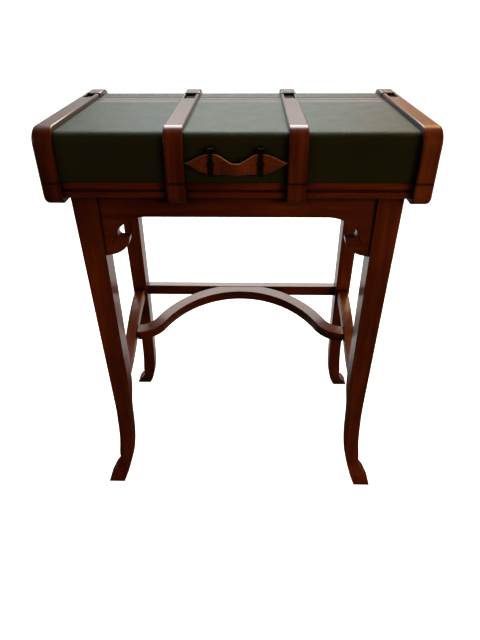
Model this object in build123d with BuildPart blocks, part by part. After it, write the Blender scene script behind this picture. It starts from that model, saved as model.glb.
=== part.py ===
"""Trunk-style writing desk: a strapped, leather-covered case with a lifting lid on a four-legged stand.

Frame: +Z up, -Y is the front, origin on the floor below the middle of the stand. Millimetres.
"""
from build123d import *
from math import atan2, asin, cos, degrees, hypot, pi, sin, sqrt
import os

# ---- driving dimensions of the case ---------------------------------------------------------
CASE_W = 614.0            # over the end straps
CASE_D = 369.0            # over the straps, front to back
TOP_Z = 780.0             # top of the straps
BOTTOM_Z = 661.5          # underside of the straps
SPLIT_Z = 698.0           # where the lid parts from the tray
SPLIT_GAP = 0.6
STRAP_T = 8.0             # how far a strap stands proud of the leather
FOOT_T = 10.5             # how far a strap reaches below the tray
LEATHER_T = 2.0
STRAP_TOP_R = 25.0
STRAP_BOTTOM_R = 16.0
END_STRAP_W = 30.5
MID_STRAP_W = 30.0
MID_STRAP_X = 94.3
LIP_T = 5.0               # end straps lap the case's end by this much
LIP_DEPTH = 28.0
EDGE_R = 2.5              # eased strap edges
END_EDGE_R = 6.0          # the rounder outer edge of the end straps
HALF_W = CASE_W / 2
HALF_D = CASE_D / 2
SKIN_X = HALF_W - LIP_T               # outer face of the leather on the ends
WOOD_X = SKIN_X - LEATHER_T
SKIN_Y = HALF_D - STRAP_T             # outer face of the leather, front and back
WOOD_Y = SKIN_Y - LEATHER_T
SKIN_Z = TOP_Z - STRAP_T
WOOD_Z = SKIN_Z - LEATHER_T
WALL_T = 12.0
FRONT_T = 18.0                        # the front wall and back rail carry the rounded corner
TRAY_Z = BOTTOM_Z + FOOT_T           # underside of the tray
TRAY_TOP = SPLIT_Z - SPLIT_GAP
TRAY_RAIL_T = 16.0
BASE_T = 8.0
LINING_T = 1.5
LID_TOP_T = 12.0
BAND_W = 45.5                         # bare wood at the rear of the lid
BAND_GROOVE = 1.5
BAND_GROOVE_IN = 21.0                 # groove's distance from the lid's rear edge
REAR_RAIL_H = 18.0

# ---- lid joint and its hinges ---------------------------------------------------------------
JOINT_Y = 113.5                       # hinge axis
HINGE_Z = TOP_Z - 3.0
LID_END_Y = JOINT_Y - 1.5
FIXED_START_Y = JOINT_Y + 1.0
LID_STRAP_END = JOINT_Y - 3.5
REAR_STRAP_START = JOINT_Y + 4.8
END_HINGE_X = 289.8
BARREL_R = 3.0
PIN_R = 1.25
PIN_FIT = 0.05
LEAF_T = 2.0
LEAF_W = 19.0
END_LEAF_W = 14.5
LID_LEAF_L = 47.5
END_LID_LEAF_L = 35.5
FIXED_LEAF_H = 23.0
MORTISE_W = 20.0
END_MORTISE_W = 15.5
MORTISE_REACH = 2.5                   # a pocket is this much longer than its leaf
MORTISE_Z = HINGE_Z - BARREL_R
KNUCKLE = 5.2                         # length of the middle knuckle
KNUCKLE_GAP = 0.3
SCREW_R = 1.2
SCREW_HEAD_R = 2.4
SCREW_HEAD_H = 1.2
SCREW_L = 12.0

# ---- stand ----------------------------------------------------------------------------------
LEG_OUT = 270.0                       # outer face of a leg at its top
LEG_IN = 228.0
REAR_LEG_IN = 232.5
LEG_Y_SHIFT = 105.5                   # a leg's Y profile is its X profile moved in by this
STAND_TOP = TRAY_Z - 3.0              # packing strips leave a shadow line under the tray
APRON_T = 20.0
APRON_SETBACK = 4.0
APRON_EDGE_Z = 633.6                  # lower edge between the scrolls
STRETCHER_TOP = 333.0
STRETCHER_H = 25.0
STRETCHER_T = 22.0
REAR_STRETCHER_Y = 137.5              # its front face
SIDE_RAIL_IN = 237.0
SIDE_RAIL_OUT = 261.0
SIDE_RAIL_H = 24.0
SIDE_RAIL_DROP = 71.0                 # rear end to front end
SIDE_RAIL_R = 350.0
BOW_T = 26.0
BOW_W = 24.5
BOW_TILT = 15.1                       # degrees the bow's board rises to the rear
BOW_R = 215.5
BOW_END_R = 62.0
BOW_PEAK = -6.5                       # centre line's crown, measured in the board
BOW_FOOT = -140.0                     # centre line's level at the ends
BEARER_X = 205.0
BEARER_W = 35.0
BEARER_L = 300.0
BLOCK_H = 24.0

# ---- handle ---------------------------------------------------------------------------------
HANGER_X = 38.0
AXIS_Y = -182.5                       # the handle swings about the line through the eyes
AXIS_Z = 748.2
EYE_R = 4.0
EYE_HALF_W = 5.0
EYE_PLATE_T = 1.2
EYE_PLATE_R = 5.4
RING_HALF_W = 2.0
LUG_GAP = 0.3
GRIP_T = 4.8
GRIP_BACK = -180.0
GRIP_BOW = 7.9                        # how far the middle of the grip stands further out
HANGER_T = 2.2
BOSS_R = 5.6
BOSS_Z = 728.8
HANGER_FOOT_Z = 709.5
STUD_R = 3.4
STUD_SHANK_R = 1.6

FAR = 900.0                           # longer than anything, for trimming
os.makedirs("parts", exist_ok=True)


def save(piece, name):
    """Label a finished piece and write it."""
    piece.part.label = name
    export_step(piece.part, f"parts/{name}.step")


def girth(inset):
    """The case's outline in side view, moved in from the straps' outer face by inset."""
    sharp = 1.0
    low = BOTTOM_Z + inset * FOOT_T / STRAP_T
    high = TOP_Z - inset
    with BuildSketch() as face:
        with Locations((0, (high + low) / 2)):
            Rectangle(CASE_D - 2 * inset, high - low)
        fillet(face.vertices().group_by(Axis.Y)[-1], max(STRAP_TOP_R - inset, sharp))
        if not inset:
            fillet(face.vertices().group_by(Axis.Y)[0], STRAP_BOTTOM_R)
    return face.sketch


def area(*boxes):
    """A side-view region made of (y_low, y_high, z_low, z_high) rectangles."""
    with BuildSketch() as face:
        for y_low, y_high, z_low, z_high in boxes:
            with Locations(((y_low + y_high) / 2, (z_low + z_high) / 2)):
                Rectangle(y_high - y_low, z_high - z_low)
    return face.sketch


STRAP_GIRTH = girth(0)
SKIN_GIRTH = girth(STRAP_T)
WOOD_GIRTH = girth(STRAP_T + LEATHER_T)
LIP_GIRTH = girth(LIP_DEPTH)


def block(x_range, y_range, z_range, mode=Mode.ADD):
    """A box between two corners, added to the part being built."""
    spans = [high - low for low, high in (x_range, y_range, z_range)]
    centre = [(low + high) / 2 for low, high in (x_range, y_range, z_range)]
    with Locations(tuple(centre)):
        Box(*spans, mode=mode)


def board(name, x_range, y_range, z_range, cut_by=()):
    """A plain rectangular piece, with fixings' holes cut in it."""
    with BuildPart() as plain:
        block(x_range, y_range, z_range)
        for other in cut_by:
            add(other, mode=Mode.SUBTRACT)
    save(plain, name)


# ---- legs -----------------------------------------------------------------------------------
def leg_outline(side, shift, inner=LEG_IN):
    """Sawn outline of a sabre leg in one elevation."""
    def at(out, z):
        return (side * (out - shift), z)

    with BuildSketch() as face:
        with BuildLine():
            Line(at(inner, STAND_TOP), at(LEG_OUT, STAND_TOP))
            Line(at(LEG_OUT, STAND_TOP), at(263.8, 205))
            Spline(at(263.8, 205), at(264.7, 150), at(268.2, 92), at(271.4, 60), at(273.3, 42),
                   at(286.3, 24), tangents=[(side * -0.012, -1), (side * 0.9, -1)])
            Line(at(286.3, 24), at(298.0, 2.5))
            Line(at(298.0, 2.5), at(296, 0))
            Line(at(296, 0), at(265.5, 0))
            Line(at(265.5, 0), at(263.2, 2))
            Spline(at(263.2, 2), at(247, 42), at(240, 80), at(236.5, 125), at(234.5, 190), at(inner, 330),
                   tangents=[(side * -0.5, 1), (0, 1)])
            Line(at(inner, 330), at(inner, STAND_TOP))
        make_face()
    return face.sketch


legs = {}
for side_x, side_y, name in ((-1, -1, "front_left_leg"), (1, -1, "front_right_leg"),
                             (-1, 1, "rear_left_leg"), (1, 1, "rear_right_leg")):
    with BuildPart() as leg:
        with BuildSketch(Plane.XZ):
            add(leg_outline(side_x, 0, REAR_LEG_IN if side_y > 0 else LEG_IN))
        extrude(amount=FAR, both=True)
        with BuildSketch(Plane.YZ):
            add(leg_outline(side_y, LEG_Y_SHIFT))
        extrude(amount=FAR, both=True, mode=Mode.INTERSECT)
    save(leg, name)
    legs[name] = leg.part


# ---- aprons with their pierced scroll ends --------------------------------------------------
def apron_outline(half_span):
    """One apron seen square on: a straight rail that ends in an open scroll at each leg."""
    with BuildSketch() as face:
        with BuildLine():
            Line((0, STAND_TOP), (half_span, STAND_TOP))
            Line((half_span, STAND_TOP), (half_span, 562))
            Line((half_span, 562), (half_span - 9, 564))
            ThreePointArc((half_span - 9, 564), (half_span - 29, 571.4), (half_span - 41, 583.5))
            ThreePointArc((half_span - 41, 583.5), (half_span - 43.2, 589.5), (half_span - 44, 596))
            ThreePointArc((half_span - 44, 596), (half_span - 36, 596.8), (half_span - 27.5, 598))
            ThreePointArc((half_span - 27.5, 598), (half_span - 25, 605), (half_span - 28, 612))
            ThreePointArc((half_span - 28, 612), (half_span - 52, 628.5), (half_span - 82, APRON_EDGE_Z))
            Line((half_span - 82, APRON_EDGE_Z), (0, APRON_EDGE_Z))
            Line((0, APRON_EDGE_Z), (0, STAND_TOP))
        make_face()
        mirror(about=Plane.YZ)
    return face.sketch


APRON_FRONT_Y = LEG_OUT - LEG_Y_SHIFT - APRON_SETBACK
APRON_END_X = LEG_OUT - APRON_SETBACK
for side, half_span, name in ((-1, LEG_IN, "front_apron"), (1, REAR_LEG_IN, "rear_apron")):
    with BuildPart() as apron:
        with BuildSketch(Plane.XZ.offset(-side * APRON_FRONT_Y)):
            add(apron_outline(half_span))
        extrude(amount=side * APRON_T)
    save(apron, name)
for side, name in ((-1, "left_apron"), (1, "right_apron")):
    with BuildPart() as apron:
        with BuildSketch(Plane.YZ.offset(side * APRON_END_X)):
            add(apron_outline(LEG_IN - LEG_Y_SHIFT))
        extrude(amount=-side * APRON_T)
    save(apron, name)

# ---- stretchers -----------------------------------------------------------------------------
rear_face = REAR_STRETCHER_Y + STRETCHER_T
with BuildPart() as rear_stretcher:
    block((-REAR_LEG_IN - 4, REAR_LEG_IN + 4), (REAR_STRETCHER_Y, rear_face),
          (STRETCHER_TOP - STRETCHER_H, STRETCHER_TOP))
    fillet(rear_stretcher.edges().filter_by(Axis.X), EDGE_R)
    for leg_part in legs.values():
        add(leg_part, mode=Mode.SUBTRACT)
save(rear_stretcher, "rear_stretcher")

# An ogee of two equal arcs: level-ish at the rear leg, falling, then level-ish at the front leg.
RAIL_REAR_Y = LEG_IN - LEG_Y_SHIFT
RAIL_HALF = RAIL_REAR_Y + 2.5
chord_angle = atan2(SIDE_RAIL_DROP / 2, RAIL_HALF)
arc_half_angle = asin(hypot(RAIL_HALF, SIDE_RAIL_DROP / 2) / 2 / SIDE_RAIL_R)
end_slope = chord_angle - arc_half_angle
for side, name in ((-1, "left_stretcher"), (1, "right_stretcher")):
    with BuildPart() as rail:
        mid_z = STRETCHER_TOP - SIDE_RAIL_DROP / 2
        with BuildSketch(Plane.YZ.offset(side * SIDE_RAIL_IN)):
            with BuildLine():
                upper = [(RAIL_HALF, STRETCHER_TOP), (0, mid_z), (-RAIL_HALF, mid_z - SIDE_RAIL_DROP / 2)]
                lower = [(y, z - SIDE_RAIL_H) for y, z in upper]
                for points in (upper, lower):
                    rear, middle, front = points
                    TangentArc(rear, middle, tangent=(-cos(end_slope), -sin(end_slope)))
                    TangentArc(front, middle, tangent=(cos(end_slope), sin(end_slope)))
                Line(upper[0], lower[0])
                Line(upper[2], lower[2])
            make_face()
        extrude(amount=side * (SIDE_RAIL_OUT - SIDE_RAIL_IN))
        long_edges = rail.edges().filter_by(GeomType.CIRCLE)
        fillet(long_edges, EDGE_R)
        for leg_part in legs.values():
            add(leg_part, mode=Mode.SUBTRACT)
    save(rail, name)

# The bow is sawn from a board that lies on the slope of the side rails.
tilt = BOW_TILT * pi / 180
bow_plane = Plane(origin=(0, REAR_STRETCHER_Y, STRETCHER_TOP), x_dir=(1, 0, 0),
                  z_dir=(0, -sin(tilt), cos(tilt)))
crown_centre_y = BOW_PEAK - BOW_R
foot_centre_y = BOW_FOOT + BOW_END_R
centre_rise = foot_centre_y - crown_centre_y
foot_centre_x = sqrt((BOW_R + BOW_END_R) ** 2 - centre_rise ** 2)
turn = degrees(atan2(foot_centre_x, centre_rise))
with BuildPart() as bow:
    with BuildSketch(bow_plane):
        for side in (-1, 1):
            for centre, radius, start, sweep in (
                    ((0, crown_centre_y), BOW_R, 90, -turn * side),
                    ((side * foot_centre_x, foot_centre_y), BOW_END_R, 270, -turn * side)):
                with BuildLine() as path:
                    CenterArc(centre, radius, start, sweep)
                trace(path.line, line_width=BOW_W)
            with BuildLine() as foot:
                Line((side * foot_centre_x, BOW_FOOT), (side * SIDE_RAIL_OUT, BOW_FOOT))
            trace(foot.line, line_width=BOW_W)
    extrude(amount=-BOW_T)
    block((-FAR, FAR), (REAR_STRETCHER_Y, FAR), (0, FAR), mode=Mode.SUBTRACT)
    for side in (-1, 1):
        block(sorted((side * SIDE_RAIL_IN, side * FAR)), (-FAR, FAR), (0, FAR), mode=Mode.SUBTRACT)
save(bow, "bowed_stretcher")

# ---- corner blocks, bearers and the screws that hold the case -------------------------------
BLOCK_SIDE_X = APRON_END_X - APRON_T
BLOCK_SIDE_Y = APRON_FRONT_Y - APRON_T
LEG_IN_Y = LEG_IN - LEG_Y_SHIFT
corners = [(side_x, side_y) for side_x in (-1, 1) for side_y in (-1, 1)]
CASE_SCREW_AT = (219.0, 121.0)
CASE_SCREW_R = 2.2
CASE_SCREW_HEAD_R = 4.2
CASE_SCREW_HEAD_H = 2.6
head_z = STAND_TOP - BLOCK_H
with BuildPart() as case_screws:
    for side_x, side_y in corners:
        centre = (side_x * CASE_SCREW_AT[0], side_y * CASE_SCREW_AT[1])
        with BuildSketch(Plane.XZ.offset(-centre[1])):
            with BuildLine():
                Polyline((centre[0], head_z), (centre[0] + CASE_SCREW_HEAD_R, head_z),
                         (centre[0] + CASE_SCREW_R, head_z + CASE_SCREW_HEAD_H),
                         (centre[0] + CASE_SCREW_R, TRAY_Z + 2), (centre[0], TRAY_Z + 5),
                         close=True)
            make_face()
        revolve(axis=Axis((*centre, 0), (0, 0, 1)))
save(case_screws, "case_screws")

with BuildPart() as corner_blocks:
    for side_x, side_y in corners:
        leg_x = REAR_LEG_IN if side_y > 0 else LEG_IN
        outline = [(BLOCK_SIDE_X, 84), (BLOCK_SIDE_X, LEG_IN_Y), (leg_x, LEG_IN_Y),
                   (leg_x, BLOCK_SIDE_Y), (190, BLOCK_SIDE_Y)]
        with BuildSketch(Plane.XY.offset(STAND_TOP)):
            with BuildLine():
                Polyline(*[(side_x * x, side_y * y) for x, y in outline], close=True)
            make_face()
        extrude(amount=-BLOCK_H)
    add(case_screws.part, mode=Mode.SUBTRACT)
save(corner_blocks, "corner_blocks")

for side, name in ((-1, "left_bearer"), (1, "right_bearer")):
    board(name, sorted((side * BEARER_X, side * (BEARER_X + BEARER_W))),
          (-BEARER_L / 2, BEARER_L / 2), (STAND_TOP, TRAY_Z), [case_screws.part])

# ---- tray -----------------------------------------------------------------------------------
BEAD_H = 10.0
GROOVE_H = 3.0
GROOVE_DEPTH = 1.5
IN_X = SKIN_X - TRAY_RAIL_T
IN_Y = SKIN_Y - TRAY_RAIL_T
levels = [(TRAY_Z, TRAY_Z + BEAD_H, 0.0),
          (TRAY_Z + BEAD_H, TRAY_Z + BEAD_H + GROOVE_H, LEATHER_T + GROOVE_DEPTH),
          (TRAY_Z + BEAD_H + GROOVE_H, TRAY_TOP, LEATHER_T)]
for name, corner_pair in (("tray_front_rail", ((-1, -1), (1, -1))), ("tray_rear_rail", ((1, 1), (-1, 1))),
                          ("tray_left_rail", ((-1, 1), (-1, -1))), ("tray_right_rail", ((1, -1), (1, 1)))):
    start, end = corner_pair
    mitred = [(start[0] * SKIN_X, start[1] * SKIN_Y), (end[0] * SKIN_X, end[1] * SKIN_Y),
              (end[0] * IN_X, end[1] * IN_Y), (start[0] * IN_X, start[1] * IN_Y)]
    with BuildPart() as rail:
        for z_low, z_high, setback in levels:
            with BuildSketch(Plane.XY.offset(z_low)):
                with BuildLine():
                    Polyline(*mitred, close=True)
                make_face()
                Rectangle(2 * (SKIN_X - setback), 2 * (SKIN_Y - setback), mode=Mode.INTERSECT)
            extrude(amount=z_high - z_low)
    save(rail, name)

board("tray_bottom", (-IN_X, IN_X), (-IN_Y, IN_Y), (TRAY_Z, TRAY_Z + BASE_T), [case_screws.part])
board("tray_lining", (-IN_X, IN_X), (-IN_Y, IN_Y), (TRAY_Z + BASE_T, TRAY_Z + BASE_T + LINING_T))

# ---- hinges, built first so that their seats can be cut -------------------------------------
end_leaf = (END_LEAF_W / 2, END_LID_LEAF_L)
mid_leaf = (LEAF_W / 2, LID_LEAF_L)
hinges = [(-END_HINGE_X, *end_leaf), (-MID_STRAP_X, *mid_leaf), (MID_STRAP_X, *mid_leaf),
          (END_HINGE_X, *end_leaf)]
half_knuckle = KNUCKLE / 2


def rod(x_low, x_high, radius, y, z, mode=Mode.ADD):
    """A cylinder along X between two stations."""
    with Locations(Location(((x_low + x_high) / 2, y, z), (0, 90, 0))):
        Cylinder(radius, x_high - x_low, mode=mode)


def screw(head, rotation, mode=Mode.ADD):
    """A countersunk screw whose head's face is centred on a point."""
    with Locations(Location(head, rotation)):
        with Locations((0, 0, -SCREW_HEAD_H / 2)):
            Cone(SCREW_R, SCREW_HEAD_R, SCREW_HEAD_H, mode=mode)
        with Locations((0, 0, -SCREW_L / 2)):
            Cylinder(SCREW_R, SCREW_L, mode=mode)


with BuildPart() as lid_screws:
    for centre, _, leaf_l in hinges:
        for back in (11.5, 26.5, 41.5):
            if back < leaf_l:
                screw((centre, JOINT_Y - back, MORTISE_Z + LEAF_T), (0, 0, 0))
save(lid_screws, "hinge_lid_screws")

with BuildPart() as fixed_screws:
    for centre, _, _ in hinges:
        for down in (10.0, 18.5):
            screw((centre, FIXED_START_Y, HINGE_Z - down), (90, 0, 0))
save(fixed_screws, "hinge_fixed_screws")

with BuildPart() as pins:
    for centre, half_leaf, _ in hinges:
        rod(centre - half_leaf, centre + half_leaf, PIN_R, JOINT_Y, HINGE_Z)
save(pins, "hinge_pins")

with BuildPart() as lid_leaves:
    for centre, half_leaf, leaf_l in hinges:
        leaf_rear = JOINT_Y - BARREL_R - KNUCKLE_GAP
        block((centre - half_leaf, centre + half_leaf), (leaf_rear - leaf_l, leaf_rear),
              (MORTISE_Z, MORTISE_Z + LEAF_T))
        block((centre - half_knuckle, centre + half_knuckle), (leaf_rear, JOINT_Y),
              (MORTISE_Z, MORTISE_Z + LEAF_T))
        rod(centre - half_knuckle, centre + half_knuckle, BARREL_R, JOINT_Y, HINGE_Z)
        rod(centre - half_knuckle, centre + half_knuckle, PIN_R + PIN_FIT, JOINT_Y, HINGE_Z,
            Mode.SUBTRACT)
    add(lid_screws.part, mode=Mode.SUBTRACT)
save(lid_leaves, "hinge_lid_leaves")

with BuildPart() as fixed_leaves:
    for centre, half_leaf, _ in hinges:
        block((centre - half_leaf, centre + half_leaf), (FIXED_START_Y, FIXED_START_Y + LEAF_T),
              (HINGE_Z - FIXED_LEAF_H, HINGE_Z))
        block((centre - half_knuckle - KNUCKLE_GAP, centre + half_knuckle + KNUCKLE_GAP),
              (FIXED_START_Y, FIXED_START_Y + LEAF_T), (MORTISE_Z - KNUCKLE_GAP, HINGE_Z), Mode.SUBTRACT)
        for side in (-1, 1):
            inner = centre + side * (half_knuckle + KNUCKLE_GAP)
            rod(*sorted((inner, centre + side * half_leaf)), BARREL_R, JOINT_Y, HINGE_Z)
    add(pins.part, mode=Mode.SUBTRACT)
    add(fixed_screws.part, mode=Mode.SUBTRACT)
save(fixed_leaves, "hinge_fixed_leaves")

# ---- lid and fixed rear section -------------------------------------------------------------
LID_TOP_UNDER = WOOD_Z - LID_TOP_T
REAR_RAIL_UNDER = WOOD_Z - REAR_RAIL_H
BAND_START = LID_END_Y - BAND_W
FRONT_IN_Y = WOOD_Y - FRONT_T
BACK_IN_Y = WOOD_Y - WALL_T


def side_piece(name, face, x_range, cut_by=()):
    """A piece with one side-view section along X, with fixings' holes cut in it."""
    with BuildPart() as piece:
        with BuildSketch(Plane.YZ.offset(x_range[0])):
            add(face)
        extrude(amount=x_range[1] - x_range[0])
        for other in cut_by:
            add(other, mode=Mode.SUBTRACT)
    save(piece, name)


across = (-WOOD_X, WOOD_X)
side_piece("lid_front", WOOD_GIRTH & area((-HALF_D, -FRONT_IN_Y, SPLIT_Z, TOP_Z)), across)
side_piece("lid_top", WOOD_GIRTH & area((-FRONT_IN_Y, BAND_START, LID_TOP_UNDER, TOP_Z)), across)
groove_y = LID_END_Y - BAND_GROOVE_IN
side_piece("lid_band", area((BAND_START, LID_END_Y, LID_TOP_UNDER, SKIN_Z))
           - area((groove_y - BAND_GROOVE, groove_y, SKIN_Z - BAND_GROOVE, FAR)), across,
           [lid_screws.part])
for side, name in ((-1, "lid_left_end"), (1, "lid_right_end")):
    side_piece(name, area((-FRONT_IN_Y, LID_END_Y, SPLIT_Z, LID_TOP_UNDER)),
               sorted((side * WOOD_X, side * (WOOD_X - WALL_T))))

side_piece("rear_top_rail", WOOD_GIRTH & area((FIXED_START_Y, HALF_D, REAR_RAIL_UNDER, TOP_Z)), across,
           [fixed_leaves.part, fixed_screws.part])
side_piece("back_panel", area((BACK_IN_Y, WOOD_Y, TRAY_TOP, REAR_RAIL_UNDER)), across)
for side, name in ((-1, "rear_left_end"), (1, "rear_right_end")):
    side_piece(name, area((FIXED_START_Y, BACK_IN_Y, TRAY_TOP, REAR_RAIL_UNDER)),
               sorted((side * WOOD_X, side * (WOOD_X - WALL_T))))

for name, region, bare, cut_by in (
        ("lid_leather", area((-HALF_D, LID_END_Y, SPLIT_Z, TOP_Z)),
         (BAND_START, LID_END_Y), [lid_screws.part]),
        ("rear_leather", area((FIXED_START_Y, HALF_D, TRAY_TOP, TOP_Z)),
         None, [fixed_leaves.part, fixed_screws.part])):
    with BuildPart() as skin:
        with BuildSketch(Plane.YZ.offset(-SKIN_X)):
            add(SKIN_GIRTH & region)
        extrude(amount=2 * SKIN_X)
        with BuildSketch(Plane.YZ.offset(-WOOD_X)):
            add(WOOD_GIRTH)
        extrude(amount=2 * WOOD_X, mode=Mode.SUBTRACT)
        if bare:
            block(across, bare, (LID_TOP_UNDER, FAR), Mode.SUBTRACT)
        for other in cut_by:
            add(other, mode=Mode.SUBTRACT)
    save(skin, name)

# ---- straps ---------------------------------------------------------------------------------
APRON_CLEAR_Y = APRON_FRONT_Y + 1.0
lid_region = area((-HALF_D, LID_STRAP_END, SPLIT_Z, TOP_Z))
end_region = area((-HALF_D, HALF_D, BOTTOM_Z, TRAY_TOP), (REAR_STRAP_START, HALF_D, BOTTOM_Z, TOP_Z))
foot_region = area((-HALF_D, -APRON_CLEAR_Y, BOTTOM_Z, TRAY_TOP))
rear_region = area((REAR_STRAP_START, HALF_D, SPLIT_Z, TOP_Z), (APRON_CLEAR_Y, HALF_D, BOTTOM_Z, TOP_Z))
strap_ring = STRAP_GIRTH - SKIN_GIRTH
lip_ring = STRAP_GIRTH - LIP_GIRTH
OUTER_SLACK = 0.2


def outer_long_edges(piece, x):
    """The long outer edges of a strap on its side face at x."""
    edges = piece.edges().filter_by(Axis.X, reverse=True).filter_by_position(Axis.X, x - 0.01, x + 0.01)
    return ShapeList(e for e in edges if e.length > STRAP_T + 1 and
                     (abs(e.center().Y) > SKIN_Y + OUTER_SLACK
                      or e.center().Z > SKIN_Z + OUTER_SLACK
                      or e.center().Z < TRAY_Z - OUTER_SLACK))


def strap(name, side, region, inner_x, outer_x, hinge_x=None):
    """One strap from its section; end straps also lap over the case's end."""
    with BuildPart() as piece:
        with BuildSketch(Plane.YZ.offset(side * inner_x)):
            add(strap_ring & region)
        extrude(amount=side * (min(outer_x, SKIN_X) - inner_x))
        if outer_x > SKIN_X:
            with BuildSketch(Plane.YZ.offset(side * SKIN_X)):
                add(lip_ring & region)
            extrude(amount=side * (outer_x - SKIN_X))
        fillet(outer_long_edges(piece, side * inner_x), EDGE_R)
        fillet(outer_long_edges(piece, side * outer_x), END_EDGE_R if outer_x > SKIN_X else EDGE_R)
        if hinge_x:
            half_mortise = (END_MORTISE_W if outer_x > SKIN_X else MORTISE_W) / 2
            mortise_l = (END_LID_LEAF_L if outer_x > SKIN_X else LID_LEAF_L) + MORTISE_REACH
            block((hinge_x - half_mortise, hinge_x + half_mortise),
                  (LID_STRAP_END - mortise_l, LID_STRAP_END), (MORTISE_Z, FAR), Mode.SUBTRACT)
            add(lid_screws.part, mode=Mode.SUBTRACT)
    save(piece, name)


for side, where in ((-1, "left"), (1, "right")):
    end_band = (HALF_W - END_STRAP_W, HALF_W)
    mid_band = (MID_STRAP_X - MID_STRAP_W / 2, MID_STRAP_X + MID_STRAP_W / 2)
    strap(f"lid_strap_{where}_end", side, lid_region, *end_band, side * END_HINGE_X)
    strap(f"lid_strap_{where}_mid", side, lid_region, *mid_band, side * MID_STRAP_X)
    strap(f"case_strap_{where}_end", side, end_region, *end_band)
    strap(f"case_strap_{where}_mid_rear", side, rear_region, *mid_band)
    strap(f"case_strap_{where}_mid_foot", side, foot_region, *mid_band)

# ---- handle ---------------------------------------------------------------------------------
hanger_centres = [-HANGER_X, HANGER_X]
GRIP_FRONT = GRIP_BACK - GRIP_T

with BuildPart() as handle_pins:
    for centre in hanger_centres:
        rod(centre - EYE_HALF_W, centre + EYE_HALF_W, PIN_R, AXIS_Y, AXIS_Z)
save(handle_pins, "handle_pins")

with BuildPart() as eyes:
    lug_in = RING_HALF_W + LUG_GAP
    plate_face = -SKIN_Y - EYE_PLATE_T
    for centre in hanger_centres:
        with Locations(Location((centre, -SKIN_Y - EYE_PLATE_T / 2, AXIS_Z), (90, 0, 0))):
            Cylinder(EYE_PLATE_R, EYE_PLATE_T)
        for side in (-1, 1):
            span = sorted((centre + side * lug_in, centre + side * EYE_HALF_W))
            rod(*span, EYE_R, AXIS_Y, AXIS_Z)
            block(span, (AXIS_Y, plate_face), (AXIS_Z - EYE_R, AXIS_Z + EYE_R))
    add(handle_pins.part, mode=Mode.SUBTRACT)
save(eyes, "handle_eyes")

with BuildPart() as studs:
    shank_back = GRIP_BACK + 1.0
    stud_face = GRIP_FRONT - HANGER_T
    for centre in hanger_centres:
        with BuildSketch(Plane((centre, 0, BOSS_Z), x_dir=(1, 0, 0), z_dir=(0, 0, 1))):
            with BuildLine():
                Polyline((0, stud_face - 1.6), (STUD_R - 1.2, stud_face - 1.6), (STUD_R, stud_face - 0.5),
                         (STUD_R, stud_face), (STUD_SHANK_R, stud_face), (STUD_SHANK_R, GRIP_BACK),
                         (STUD_R, GRIP_BACK), (STUD_R, shank_back), (0, shank_back), close=True)
            make_face()
        revolve(axis=Axis((centre, 0, BOSS_Z), (0, 1, 0)))
save(studs, "handle_studs")

for side, name in ((-1, "left_hanger"), (1, "right_hanger")):
    centre = side * HANGER_X
    with BuildPart() as hanger:
        with BuildSketch(Plane.XZ.offset(-GRIP_FRONT)):
            with BuildLine():
                half = [(RING_HALF_W, AXIS_Z), (RING_HALF_W, AXIS_Z - EYE_R - 1), (3.3, AXIS_Z - EYE_R - 3),
                        (3.3, BOSS_Z), (4.0, 723), (4.0, 713), (2.2, HANGER_FOOT_Z)]
                Polyline(*[(centre + x, z) for x, z in half], *[(centre - x, z) for x, z in half[::-1]],
                         close=True)
            make_face()
            with Locations((centre, BOSS_Z)):
                Circle(BOSS_R)
        extrude(amount=HANGER_T)
        rod(centre - RING_HALF_W, centre + RING_HALF_W, EYE_R, AXIS_Y, AXIS_Z)
        rod(centre - RING_HALF_W, centre + RING_HALF_W, PIN_R + PIN_FIT, AXIS_Y, AXIS_Z, Mode.SUBTRACT)
        add(studs.part, mode=Mode.SUBTRACT)
    save(hanger, name)

with BuildPart() as grip:
    with BuildSketch(Plane.XZ):
        with BuildLine():
            Line((0, 730.8), (6, 730.9))
            Spline((6, 730.9), (18, 737.3), (27, 741.8), (38, 743.6), (49, 742.4), (62, 737.6), (77.6, 730.6),
                   tangents=[(1, 0.4), (1, -0.5)])
            ThreePointArc((77.6, 730.6), (78.2, 729.3), (77.6, 728))
            Spline((77.6, 728), (62, 719.4), (49, 713.6), (38, 712.0), (28, 713.2), (18, 714.6), (0, 713.0),
                   tangents=[(-1, -0.5), (-1, 0)])
            Line((0, 713.0), (0, 730.8))
        make_face()
        mirror(about=Plane.YZ)
    extrude(amount=FAR, both=True)
    with BuildSketch(Plane.XY.offset(AXIS_Z)):
        with BuildLine():
            for y in (GRIP_BACK, GRIP_BACK - GRIP_T):
                Line((-90, y), (-32, y))
                Spline((-32, y), (0, y - GRIP_BOW), (32, y), tangents=[(1, 0), (1, 0)])
                Line((32, y), (90, y))
            for x in (-90, 90):
                Line((x, GRIP_BACK), (x, GRIP_BACK - GRIP_T))
        make_face()
    extrude(amount=-FAR, mode=Mode.INTERSECT)
    add(studs.part, mode=Mode.SUBTRACT)
save(grip, "handle_grip")
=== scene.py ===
"""Look of the trunk-style writing desk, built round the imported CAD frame. Metres, +Z up, -Y the front."""
import math

import bmesh
import bpy
from mathutils import Matrix, Vector


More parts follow.
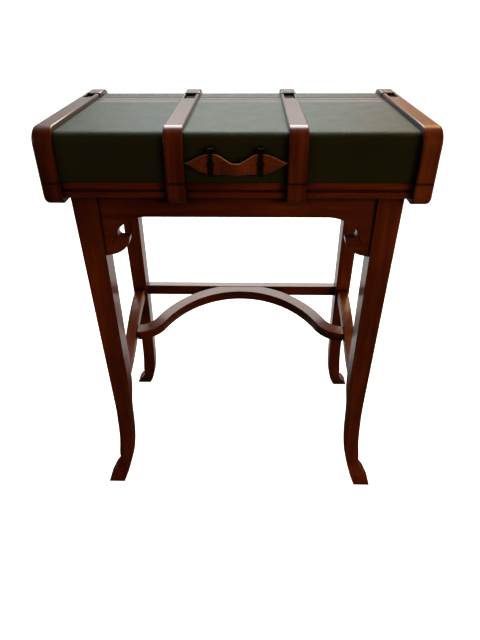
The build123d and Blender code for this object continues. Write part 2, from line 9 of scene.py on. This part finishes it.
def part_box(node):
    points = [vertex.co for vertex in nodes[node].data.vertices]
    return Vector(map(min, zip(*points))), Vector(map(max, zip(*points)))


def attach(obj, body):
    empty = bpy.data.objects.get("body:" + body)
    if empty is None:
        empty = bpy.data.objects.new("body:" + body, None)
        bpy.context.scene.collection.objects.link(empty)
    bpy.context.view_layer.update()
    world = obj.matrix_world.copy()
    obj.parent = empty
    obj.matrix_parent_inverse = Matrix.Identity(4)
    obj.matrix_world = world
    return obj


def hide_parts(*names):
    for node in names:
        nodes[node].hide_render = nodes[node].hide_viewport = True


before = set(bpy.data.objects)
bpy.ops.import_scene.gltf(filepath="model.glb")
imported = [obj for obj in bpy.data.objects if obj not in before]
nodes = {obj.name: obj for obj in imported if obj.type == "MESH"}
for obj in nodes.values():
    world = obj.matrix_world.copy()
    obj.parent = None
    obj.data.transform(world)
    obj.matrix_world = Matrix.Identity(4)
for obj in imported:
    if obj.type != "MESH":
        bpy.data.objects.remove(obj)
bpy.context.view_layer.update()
scene = bpy.context.scene

# ---- camera -------------------------------------------------------------------------------
camera_data = bpy.data.cameras.new("camera")
camera_data.lens = 28.25
camera_data.sensor_width = 36.0
camera_data.clip_start = 0.05
camera = bpy.data.objects.new("camera", camera_data)
scene.collection.objects.link(camera)
camera.location = (0.0247, -0.9490, 0.9511)
camera.rotation_euler = (math.radians(56.545), math.radians(0.27), math.radians(1.287))
scene.camera = camera
scene.view_settings.view_transform = "Standard"
scene.view_settings.look = "Medium High Contrast"


# ---- material helpers -----------------------------------------------------------------------
class Shader:
    """A node material with a Principled surface and short calls for the nodes used here."""

    def __init__(self, name):
        self.material = bpy.data.materials.new(name)
        self.material.use_nodes = True
        self.tree = self.material.node_tree
        self.surface = self.tree.nodes["Principled BSDF"]
        self.coords = self.node("ShaderNodeTexCoord").outputs["Object"]

    def node(self, kind, **settings):
        made = self.tree.nodes.new(kind)
        for key, value in settings.items():
            setattr(made, key, value)
        return made

    def link(self, source, target):
        self.tree.links.new(source, target)

    def scaled(self, scale, shift=(0, 0, 0)):
        mapping = self.node("ShaderNodeMapping")
        mapping.inputs["Scale"].default_value = scale
        mapping.inputs["Location"].default_value = shift
        self.link(self.coords, mapping.inputs["Vector"])
        return mapping.outputs["Vector"]

    def noise(self, vector, scale=1.0, detail=4.0, rough=0.55, distortion=0.0):
        made = self.node("ShaderNodeTexNoise")
        made.inputs["Scale"].default_value = scale
        made.inputs["Detail"].default_value = detail
        made.inputs["Roughness"].default_value = rough
        made.inputs["Distortion"].default_value = distortion
        self.link(vector, made.inputs["Vector"])
        return made.outputs["Fac"]

    def ramp(self, value, *stops):
        made = self.node("ShaderNodeValToRGB")
        ramp = made.color_ramp
        while len(ramp.elements) < len(stops):
            ramp.elements.new(0.5)
        for element, (place, colour) in zip(ramp.elements, stops):
            element.position = place
            element.color = (*colour, 1.0) if len(colour) == 3 else colour
        self.link(value, made.inputs["Fac"])
        return made.outputs["Color"]

    def grey(self, value, *stops):
        return self.ramp(value, *[(place, (level,) * 3) for place, level in stops])

    def mix(self, factor, first, second, blend="MIX"):
        made = self.node("ShaderNodeMix", data_type="RGBA", blend_type=blend)
        for socket, source in ((made.inputs[0], factor), (made.inputs[6], first), (made.inputs[7], second)):
            if isinstance(source, bpy.types.NodeSocket):
                self.link(source, socket)
            elif isinstance(source, (int, float)):
                socket.default_value = source
            else:
                socket.default_value = (*source, 1.0)
        return made.outputs[2]

    def math(self, operation, first, second=0.0):
        made = self.node("ShaderNodeMath", operation=operation)
        for socket, source in zip(made.inputs, (first, second)):
            if isinstance(source, bpy.types.NodeSocket):
                self.link(source, socket)
            else:
                socket.default_value = source
        return made.outputs[0]

    def crevice(self, reach, inside=False):
        """0 in tight corners, 1 on open faces; looking inside the solid it is lower along sharp edges."""
        made = self.node("ShaderNodeAmbientOcclusion", samples=6, inside=inside)
        made.inputs["Distance"].default_value = reach
        return made.outputs["AO"]

    def bump(self, height, strength, distance):
        made = self.node("ShaderNodeBump")
        made.inputs["Strength"].default_value = strength
        made.inputs["Distance"].default_value = distance
        self.link(height, made.inputs["Height"])
        self.link(made.outputs["Normal"], self.surface.inputs["Normal"])

    def set(self, **values):
        for key, value in values.items():
            socket = self.surface.inputs[key.replace("_", " ")]
            if isinstance(value, bpy.types.NodeSocket):
                self.link(value, socket)
            else:
                socket.default_value = value


def mahogany(name, stretch, dark=(0.050, 0.0075, 0.0010), body=(0.130, 0.023, 0.0030),
             light=(0.23, 0.052, 0.007), gloss=0.6, shift=(0, 0, 0), edge=1.0, painted_shade_lines=()):
    """Stained, lacquered wood. stretch is how many grain lines there are in a metre on each axis. The lines
    given in the last argument are painted shade: dull dark lines that run along X, as (Y of the middle,
    half the width). edge, when below 1, is how dark the painted shade along sharp outer edges gets."""
    wood = Shader(name)
    grain = wood.noise(wood.scaled(stretch, shift), detail=6, rough=0.62, distortion=0.5)
    streaks = wood.ramp(grain, (0.22, dark), (0.50, body), (0.86, light))
    fine = wood.noise(wood.scaled([s * 4.5 for s in stretch], shift), detail=3, rough=0.7)
    pores = wood.grey(fine, (0.26, 0.25), (0.40, 1.0))
    cloud = wood.noise(wood.scaled((7, 7, 7), shift), detail=2)
    patches = wood.grey(cloud, (0.30, 0.62), (0.70, 1.15))
    colour = wood.mix(1.0, streaks, patches, "MULTIPLY")
    colour = wood.mix(wood.math("SUBTRACT", 1.0, pores), colour, dark)
    # Darker in corners and crevices: partly the dark glaze that gathers there, partly painted shade.
    painted_crevice_shade = wood.grey(wood.crevice(0.018), (0.40, 0.06), (0.92, 1.0))
    colour = wood.mix(1.0, colour, painted_crevice_shade, "MULTIPLY")
    polish = gloss
    # Painted shade: the listed lines are made dark and dull, standing in for shade in a groove and at an
    # edge.
    if painted_shade_lines:
        back = wood.node("ShaderNodeSeparateXYZ")
        wood.link(wood.coords, back.inputs[0])
        for middle, half in painted_shade_lines:
            away = wood.math("ABSOLUTE", wood.math("SUBTRACT", back.outputs["Y"], middle))
            painted_line_shade = wood.grey(wood.math("MULTIPLY", away, 50.0), (half * 50, 0.04), (half * 50 + 0.08, 1.0))
            colour = wood.mix(1.0, colour, painted_line_shade, "MULTIPLY")
            polish = wood.math("MULTIPLY", painted_line_shade, polish)
    # Painted shade along sharp outer edges: the colour is darkened there, down to the factor edge.
    if edge < 1.0:
        inward = wood.crevice(0.004, inside=True)
        colour = wood.mix(1.0, colour, wood.grey(inward, (0.55, edge), (0.95, 1.0)), "MULTIPLY")
    rough = wood.math("ADD", 0.30, wood.math("MULTIPLY", grain, 0.18))
    wood.set(Base_Color=colour, Roughness=rough, Coat_Weight=polish, Coat_Roughness=0.12)
    wood.bump(wood.math("ADD", wood.math("MULTIPLY", pores, 0.6), grain), 0.12, 0.0004)
    return wood.material


def grained_leather(name, base, light, pebble=620.0, rough=0.42, depth=0.0005, coat=0.15):
    """Pebbled leather: fine cells with creases between them and a slow drift of colour."""
    hide = Shader(name)
    warp = hide.noise(hide.scaled((90, 90, 90)), detail=3)
    vector = hide.node("ShaderNodeVectorMath", operation="ADD")
    spread = hide.node("ShaderNodeVectorMath", operation="SCALE")
    spread.inputs["Scale"].default_value = 0.0025
    hide.link(warp, spread.inputs[0])
    hide.link(hide.coords, vector.inputs[0])
    hide.link(spread.outputs["Vector"], vector.inputs[1])
    cells = hide.node("ShaderNodeTexVoronoi", feature="DISTANCE_TO_EDGE")
    cells.inputs["Scale"].default_value = pebble
    hide.link(vector.outputs["Vector"], cells.inputs["Vector"])
    pebbles = hide.grey(cells.outputs["Distance"], (0.0, 0.0), (0.16, 0.85), (0.5, 1.0))
    drift = hide.noise(hide.scaled((5, 5, 5)), detail=4)
    colour = hide.ramp(drift, (0.32, base), (0.72, light))
    colour = hide.mix(0.35, colour, hide.mix(1.0, colour, pebbles, "MULTIPLY"))
    # Painted shade: the colour is darker where other surfaces come close, in corners and beside the straps.
    painted_crevice_shade = hide.grey(hide.crevice(0.010), (0.35, 0.3), (0.85, 1.0))
    colour = hide.mix(1.0, colour, painted_crevice_shade, "MULTIPLY")
    scuffs = hide.noise(hide.scaled((35, 35, 35)), detail=5, rough=0.65)
    hide.set(Base_Color=colour, Coat_Weight=coat, Coat_Roughness=0.3, Specular_IOR_Level=0.44,
             Specular_Tint=(0.66, 1.0, 1.0, 1),
             Roughness=hide.math("ADD", rough - 0.07, hide.math("MULTIPLY", scuffs, 0.14)))
    hide.bump(pebbles, 0.22, depth)
    return hide.material


def dark_metal(name, base, rough=0.38, metallic=0.75):
    """Blackened metal with rubbed patches."""
    metal = Shader(name)
    patina = metal.noise(metal.scaled((160, 160, 160)), detail=5, rough=0.7)
    colour = metal.ramp(patina, (0.35, [c * 0.55 for c in base]), (0.75, [c * 2.2 for c in base]))
    metal.set(Base_Color=colour, Metallic=metallic,
              Roughness=metal.math("ADD", rough - 0.1, metal.math("MULTIPLY", patina, 0.25)))
    metal.bump(patina, 0.10, 0.0002)
    return metal.material


def baize(name, base):
    """Woven lining cloth with a soft nap."""
    cloth = Shader(name)
    warp = cloth.node("ShaderNodeTexWave", bands_direction="X")
    weft = cloth.node("ShaderNodeTexWave", bands_direction="Y")
    for wave in (warp, weft):
        wave.inputs["Scale"].default_value = 230.0
        wave.inputs["Distortion"].default_value = 1.5
        cloth.link(cloth.coords, wave.inputs["Vector"])
    weave = cloth.math("MAXIMUM", warp.outputs["Fac"], weft.outputs["Fac"])
    nap = cloth.noise(cloth.scaled((60, 60, 60)), detail=6, rough=0.7)
    colour = cloth.ramp(nap, (0.3, [c * 0.7 for c in base]), (0.7, [c * 1.3 for c in base]))
    colour = cloth.mix(0.4, colour, cloth.mix(1.0, colour, weave, "MULTIPLY"))
    cloth.set(Base_Color=colour, Roughness=0.9, Sheen_Weight=0.3)
    cloth.bump(weave, 0.3, 0.0004)
    return cloth.material


FINE, COARSE = 70.0, 5.0
ALONG_X = (COARSE, FINE, FINE)
ALONG_Y = (FINE, COARSE, FINE)
ALONG_Z = (FINE, FINE, COARSE)
ROUND_CASE = (FINE, COARSE, COARSE)
wood_x = mahogany("mahogany_x", ALONG_X)
wood_y = mahogany("mahogany_y", ALONG_Y)
wood_z = mahogany("mahogany_z", ALONG_Z, shift=(0.4, 0.3, 0.1))
# The straps get painted shade along their sharp outer edges.
wood_strap = mahogany("mahogany_strap", ROUND_CASE, body=(0.105, 0.019, 0.0026), edge=0.35)
# The right end straps get a lighter, warmer copy of the strap wood: painted warm light from the right.
wood_strap_painted_warm_light = mahogany("mahogany_strap_painted_warm_light", ROUND_CASE, dark=(0.075, 0.014, 0.0014),
                           body=(0.150, 0.032, 0.0032), light=(0.26, 0.066, 0.008), gloss=0.3, edge=0.35)
# The side stretchers get a lighter, more orange copy of the wood: painted light falling on their tops.
wood_rail_painted_light = mahogany("mahogany_rail_painted_light", ALONG_Y, dark=(0.080, 0.015, 0.0014),
                     body=(0.170, 0.038, 0.0036), light=(0.28, 0.075, 0.009), gloss=0.25)
band_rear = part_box("lid_band")[1][1]
# Lines of painted shade on the lid band: one just inside its rear edge, one along its groove.
BAND_EDGE_IN, BAND_EDGE_HALF = 0.002, 0.0035
BAND_GROOVE_IN, BAND_GROOVE_HALF = 0.02175, 0.0025
wood_band = mahogany("mahogany_band", ALONG_X,
                     painted_shade_lines=((band_rear - BAND_EDGE_IN, BAND_EDGE_HALF),
                              (band_rear - BAND_GROOVE_IN, BAND_GROOVE_HALF)))
BARE_WOOD = dict(dark=(0.15, 0.075, 0.032), body=(0.22, 0.115, 0.050), light=(0.29, 0.165, 0.078), gloss=0.0)
inner_x = mahogany("inner_wood_x", ALONG_X, **BARE_WOOD)
inner_y = mahogany("inner_wood_y", ALONG_Y, **BARE_WOOD)
green = grained_leather("green_leather", (0.023, 0.020, 0.0045), (0.037, 0.033, 0.0082), rough=0.50,
                        coat=0.0)
metal = dark_metal("dark_metal", (0.032, 0.025, 0.012))
# The hinges are near black and dull: the dark iron of their leaves, and painted shade in the hinge pockets.
hinge_iron_and_pocket_shade = dark_metal("hinge_iron_and_pocket_shade", (0.006, 0.004, 0.003), rough=0.85, metallic=0.0)
lining = baize("lining_cloth", (0.05, 0.065, 0.035))

by_prefix = (
    ("front_apron", wood_x), ("rear_apron", wood_x), ("rear_stretcher", wood_x), ("bowed", wood_x),
    ("left_apron", wood_y), ("right_apron", wood_y), ("left_stretcher", wood_rail_painted_light),
    ("right_stretcher", wood_rail_painted_light),
    ("tray_front", wood_x), ("tray_rear", wood_x), ("tray_left", wood_y), ("tray_right", wood_y),
    ("tray_bottom", inner_x), ("tray_lining", lining), ("lid_strap_right_end", wood_strap_painted_warm_light),
    ("case_strap_right_end", wood_strap_painted_warm_light), ("case_strap", wood_strap), ("lid_strap", wood_strap),
    ("lid_band", wood_band), ("lid_leather", green), ("rear_leather", green), ("lid_front", inner_x),
    ("lid_top", inner_x), ("lid_left_end", inner_y), ("lid_right_end", inner_y), ("back_panel", inner_x),
    ("rear_left_end", inner_y), ("rear_right_end", inner_y), ("rear_top_rail", inner_x),
    ("corner_blocks", inner_x), ("left_bearer", inner_y), ("right_bearer", inner_y),
    ("hinge", hinge_iron_and_pocket_shade), ("case_screws", metal), ("handle_eyes", metal), ("handle_pins", metal),
    ("handle_studs", metal), ("left_hanger", metal), ("right_hanger", metal))


def finish_of(name):
    if name.endswith("_leg"):
        return wood_z
    return next((material for prefix, material in by_prefix if name.startswith(prefix)), None)


# Width of the eased edges of each kind of piece. The bow's flat faces are merged first, so that thin
# triangles do not show in their shading.
WELD_REACH = 0.00002
FLAT_ANGLE = math.radians(0.2)
EASED_ANGLE = math.radians(40)
EASED = {"leg": 0.0022, "apron": 0.0016, "stretcher": 0.0016, "rail": 0.0010, "strap": 0.0008, "band": 0.0005,
         "hanger": 0.0006, "eyes": 0.0006, "studs": 0.0006}
for name, piece in nodes.items():
    material = finish_of(name)
    if material:
        for slot in piece.material_slots:
            slot.material = material
    width = next((w for word, w in EASED.items() if word in name), None)
    if width:
        weld = piece.modifiers.new("weld", "WELD")
        weld.merge_threshold = WELD_REACH
        if name.startswith("bowed"):
            flat = piece.modifiers.new("flat", "DECIMATE")
            flat.decimate_type = "DISSOLVE"
            flat.angle_limit = FLAT_ANGLE
        bevel = piece.modifiers.new("bevel", "BEVEL")
        bevel.width = width
        bevel.segments = 3
        bevel.limit_method = "ANGLE"
        bevel.angle_limit = EASED_ANGLE
        bevel.harden_normals = True
        bevel.miter_outer = "MITER_ARC"

# ---- handle ---------------------------------------------------------------------------------
HANGER_X = 0.038
GRIP_T = 0.0048
GRIP_BACK = -0.180
BOW_HALF = 0.032
BOW_OUT = 0.0079
TIP_X = 0.0784
UPPER = [(0, 731.0), (6, 731.1), (12, 733.8), (18, 737.0), (25, 740.8), (31, 743.0), (38, 743.5), (46, 742.6),
         (53, 740.6), (60, 737.8), (68, 734.0), (75, 730.7), (78.4, 729.5)]
LOWER = [(0, 713.2), (6, 713.4), (12, 713.6), (18, 713.4), (25, 712.6), (31, 712.0), (38, 711.9), (46, 713.2),
         (53, 715.6), (60, 718.8), (68, 723.2), (75, 727.4), (78.4, 729.1)]


def along(points, x):
    """Height in metres at x metres, straight between (mm, mm) points and the same on both sides."""
    x = min(abs(x) * 1000, points[-1][0])
    for (x0, z0), (x1, z1) in zip(points, points[1:]):
        if x <= x1:
            t = (x - x0) / (x1 - x0)
            return (z0 + (z1 - z0) * t) / 1000
    return points[-1][1] / 1000


def bow(x):
    """How far the grip stands out in front of its flat ends at x."""
    if abs(x) >= BOW_HALF:
        return 0.0
    return BOW_OUT * (0.5 + 0.5 * math.cos(math.pi * x / BOW_HALF))


grip_mesh = bmesh.new()
edge_layer = grip_mesh.verts.layers.float.new("from_edge")
STATIONS, STEPS, EDGE_R = 150, 22, 0.0019
rings = []
for i in range(STATIONS + 1):
    x = TIP_X * math.sin(math.pi / 2 * (2 * i / STATIONS - 1) * 0.999)
    top, bottom = along(UPPER, x), along(LOWER, x)
    middle, half = (top + bottom) / 2, max((top - bottom) / 2, 0.0004)
    ring = []
    for face in (-1, 1):
        for j in range(STEPS):
            t = -math.cos(math.pi * j / STEPS) * (1 if face < 0 else -1)
            z = middle + half * t
            edge = min(half * (1 - abs(t)), (TIP_X - abs(x)) * 0.8)
            inside = 1 - min(edge, EDGE_R) / EDGE_R
            depth = GRIP_T / 2 * math.sqrt(max(1 - inside ** 2.2, 0.0))
            swell = 0.00025 * (1 - t * t)
            y = GRIP_BACK - GRIP_T / 2 - bow(x) + face * (depth + swell)
            vert = grip_mesh.verts.new((x, y, z))
            vert[edge_layer] = edge * 1000
            ring.append(vert)
    rings.append(ring)
for ring, following in zip(rings, rings[1:]):
    count = len(ring)
    for j in range(count):
        k = (j + 1) % count
        grip_mesh.faces.new((ring[j], ring[k], following[k], following[j]))
grip_mesh.faces.new(rings[0][::-1])
grip_mesh.faces.new(rings[-1])
bmesh.ops.recalc_face_normals(grip_mesh, faces=grip_mesh.faces)
grip_data = bpy.data.meshes.new("grip_leather")
grip_mesh.to_mesh(grip_data)
grip_mesh.free()
for polygon in grip_data.polygons:
    polygon.use_smooth = True
grip = bpy.data.objects.new("grip_leather", grip_data)
scene.collection.objects.link(grip)

tan = Shader("grip_leather")
from_edge = tan.node("ShaderNodeAttribute", attribute_name="from_edge").outputs["Fac"]
hide_noise = tan.noise(tan.scaled((260, 260, 260)), detail=6, rough=0.65)
hide_colour = tan.ramp(hide_noise, (0.30, (0.09, 0.017, 0.0035)), (0.72, (0.20, 0.046, 0.008)))
edge_mask = tan.grey(tan.math("MULTIPLY", from_edge, 0.1), (0.06, 1.0), (0.11, 0.0))
groove = tan.grey(tan.math("ABSOLUTE", tan.math("SUBTRACT", from_edge, 2.6)), (0.25, 0.0), (0.7, 1.0))
hide_colour = tan.mix(1.0, hide_colour, tan.mix(groove, (0.55, 0.5, 0.45), (1, 1, 1)), "MULTIPLY")
across_grip = tan.node("ShaderNodeSeparateXYZ")
tan.link(tan.coords, across_grip.inputs[0])
from_middle = tan.math("ABSOLUTE", tan.math("MULTIPLY", across_grip.outputs["X"], 10.0))
hand_worn = tan.grey(from_middle, (0.26, 1.0), (0.34, 0.35))
edge_mask = tan.math("MULTIPLY", edge_mask, hand_worn)
hide_colour = tan.mix(edge_mask, hide_colour, (0.48, 0.23, 0.09))
tan.set(Base_Color=hide_colour, Roughness=0.52, Coat_Weight=0.05, Coat_Roughness=0.3)
tan.bump(tan.math("ADD", tan.math("MULTIPLY", hide_noise, 0.5), groove), 0.35, 0.0005)
grip_data.materials.append(tan.material)
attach(grip, "handle")
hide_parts("handle_grip")

# Saddle stitches sunk along a line just inside the edge.
STITCH_IN, STITCH_PITCH, STITCH_L, STITCH_R = 0.0026, 0.0042, 0.0030, 0.00045
WALK = 0.0002
TIP_CLEAR, HANGER_CLEAR = 0.006, 0.0055
stitch_mesh = bmesh.new()
for curve, inward in ((UPPER, -1), (LOWER, 1)):
    for side in (-1, 1):
        walked = STITCH_PITCH / 2
        x = 0.0
        last = None
        while x < TIP_X - TIP_CLEAR:
            z = along(curve, x) + inward * STITCH_IN
            if last:
                walked += math.hypot(x - last[0], z - last[1])
            last = (x, z)
            if walked >= STITCH_PITCH:
                walked = 0.0
                ahead = along(curve, x + WALK) + inward * STITCH_IN
                behind = along(curve, x - WALK) + inward * STITCH_IN
                turn = math.atan2(ahead - behind, 2 * WALK) * side
                if abs(abs(x) - HANGER_X) > HANGER_CLEAR:
                    face_y = GRIP_BACK - GRIP_T - bow(x) - 0.0001
                    place = (Matrix.Translation((side * x, face_y, z)) @ Matrix.Rotation(-turn, 4, "Y")
                             @ Matrix.Diagonal((STITCH_L / 2, STITCH_R, STITCH_R, 1)))
                    bmesh.ops.create_uvsphere(stitch_mesh, u_segments=8, v_segments=6, radius=1, matrix=place)
            x += WALK
for face in stitch_mesh.faces:
    face.smooth = True
stitch_data = bpy.data.meshes.new("grip_stitching")
stitch_mesh.to_mesh(stitch_data)
stitch_mesh.free()
stitches = bpy.data.objects.new("grip_stitching", stitch_data)
scene.collection.objects.link(stitches)
thread = Shader("waxed_thread")
twist = thread.noise(thread.scaled((900, 900, 900)), detail=2)
thread_colour = thread.ramp(twist, (0.3, (0.09, 0.035, 0.012)), (0.7, (0.20, 0.09, 0.035)))
thread.set(Base_Color=thread_colour, Roughness=0.6)
stitch_data.materials.append(thread.material)
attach(stitches, "handle")

# ---- floor and light ------------------------------------------------------------------------
floor_data = bpy.data.meshes.new("floor")
REACH = 90.0
corners = [(-REACH, -REACH, 0), (REACH, -REACH, 0), (REACH, REACH, 0), (-REACH, REACH, 0)]
floor_data.from_pydata(corners, [], [(0, 1, 2, 3)])
floor = bpy.data.objects.new("floor", floor_data)
scene.collection.objects.link(floor)
# The camera sees a plain white ground and surround. Every other ray sees a dark floor that glows only
# behind the desk, and a sky graded from front to back and to a warm right side.
floor_shader = Shader("pale_floor")
floor_shader.set(Base_Color=(0.05, 0.04, 0.03, 1), Roughness=1.0, Specular_IOR_Level=0.0)
depth_axis = floor_shader.node("ShaderNodeSeparateXYZ")
floor_shader.link(floor_shader.coords, depth_axis.inputs[0])
behind = floor_shader.math("MULTIPLY", floor_shader.math("ADD", depth_axis.outputs["Y"], 0.25), 0.4)
sweep = floor_shader.node("ShaderNodeEmission")
floor_shader.link(floor_shader.grey(behind, (0.16, 0.0), (0.26, 0.60)), sweep.inputs["Color"])
lit = floor_shader.node("ShaderNodeAddShader")
floor_shader.link(floor_shader.surface.outputs[0], lit.inputs[0])
floor_shader.link(sweep.outputs[0], lit.inputs[1])
seen = floor_shader.node("ShaderNodeBsdfDiffuse")
seen.inputs["Color"].default_value = (0.9, 0.9, 0.9, 1)
glow = floor_shader.node("ShaderNodeEmission")
glow.inputs["Strength"].default_value = 0.86
pale = floor_shader.node("ShaderNodeAddShader")
floor_shader.link(seen.outputs[0], pale.inputs[0])
floor_shader.link(glow.outputs[0], pale.inputs[1])
choice = floor_shader.node("ShaderNodeMixShader")
floor_shader.link(floor_shader.node("ShaderNodeLightPath").outputs["Is Camera Ray"], choice.inputs[0])
floor_shader.link(lit.outputs[0], choice.inputs[1])
floor_shader.link(pale.outputs[0], choice.inputs[2])
floor_shader.link(choice.outputs[0], floor_shader.tree.nodes["Material Output"].inputs["Surface"])
floor_data.materials.append(floor_shader.material)

world = bpy.data.worlds.new("studio")
world.use_nodes = True
sky = world.node_tree
direction = sky.nodes.new("ShaderNodeTexCoord")
parts = sky.nodes.new("ShaderNodeSeparateXYZ")
sky.links.new(direction.outputs["Generated"], parts.inputs[0])


def sky_ramp(source, *stops):
    made = sky.nodes.new("ShaderNodeValToRGB")
    for element, (place, colour) in zip(made.color_ramp.elements, stops):
        element.position = place
        element.color = (*colour, 1)
    sky.links.new(source, made.inputs["Fac"])
    return made.outputs["Color"]


depth_light = sky_ramp(parts.outputs["Y"], (0.05, (0.008,) * 3), (0.5, (1.0, 1.0, 1.0)))
side_light = sky_ramp(parts.outputs["X"], (0.22, (0.95, 1.0, 0.97)), (0.26, (1.0, 0.42, 0.04)))
blend = sky.nodes.new("ShaderNodeMix")
blend.data_type = "RGBA"
blend.blend_type = "MULTIPLY"
blend.inputs[0].default_value = 1.0
sky.links.new(depth_light, blend.inputs[6])
sky.links.new(side_light, blend.inputs[7])
sky.links.new(blend.outputs[2], sky.nodes["Background"].inputs["Color"])
sky.nodes["Background"].inputs["Strength"].default_value = 0.36
plain_white = sky.nodes.new("ShaderNodeBackground")
plain_white.inputs["Color"].default_value = (1, 1, 1, 1)
seen_sky = sky.nodes.new("ShaderNodeMixShader")
sky.links.new(sky.nodes.new("ShaderNodeLightPath").outputs["Is Camera Ray"], seen_sky.inputs[0])
sky.links.new(sky.nodes["Background"].outputs[0], seen_sky.inputs[1])
sky.links.new(plain_white.outputs[0], seen_sky.inputs[2])
sky.links.new(seen_sky.outputs[0], sky.nodes["World Output"].inputs["Surface"])
scene.world = world


def panel(name, place, target, size, power, colour=(1, 1, 1), shines=True):
    """A soft rectangular light facing a point; one that does not shine gives no highlights."""
    data = bpy.data.lights.new(name, "AREA")
    data.shape = "RECTANGLE"
    data.size, data.size_y = size
    data.energy = power
    data.color = colour
    light = bpy.data.objects.new(name, data)
    light.location = place
    light.rotation_euler = (Vector(target) - Vector(place)).to_track_quat("-Z", "Y").to_euler()
    light.visible_camera = False
    light.visible_glossy = shines
    scene.collection.objects.link(light)


panel("back_softbox", (-0.06, 2.3, 2.75), (-0.1, 0, 0.5), (2.25, 2.3), 71, (0.99, 1.0, 0.97))
panel("warm_back", (1.6, 2.3, 2.75), (0.3, 0, 0.5), (0.8, 2.3), 21, (1.0, 0.52, 0.16))
panel("overhead", (0.2, 0.0, 3.2), (0, 0, 0.5), (2.5, 2.0), 16, (1.0, 0.86, 0.70), shines=False)
panel("warm_right", (2.0, -1.6, 1.0), (0, 0, 0.5), (0.7, 1.2), 26, (1.0, 0.82, 0.55), shines=False)
panel("left_fill", (-2.4, -1.6, 1.3), (0, 0, 0.5), (0.7, 1.2), 6, (1.0, 0.80, 0.74))
panel("front_fill", (1.5, -2.6, 1.3), (0, 0, 0.5), (1.6, 1.2), 12, (1.0, 0.85, 0.74), shines=False)
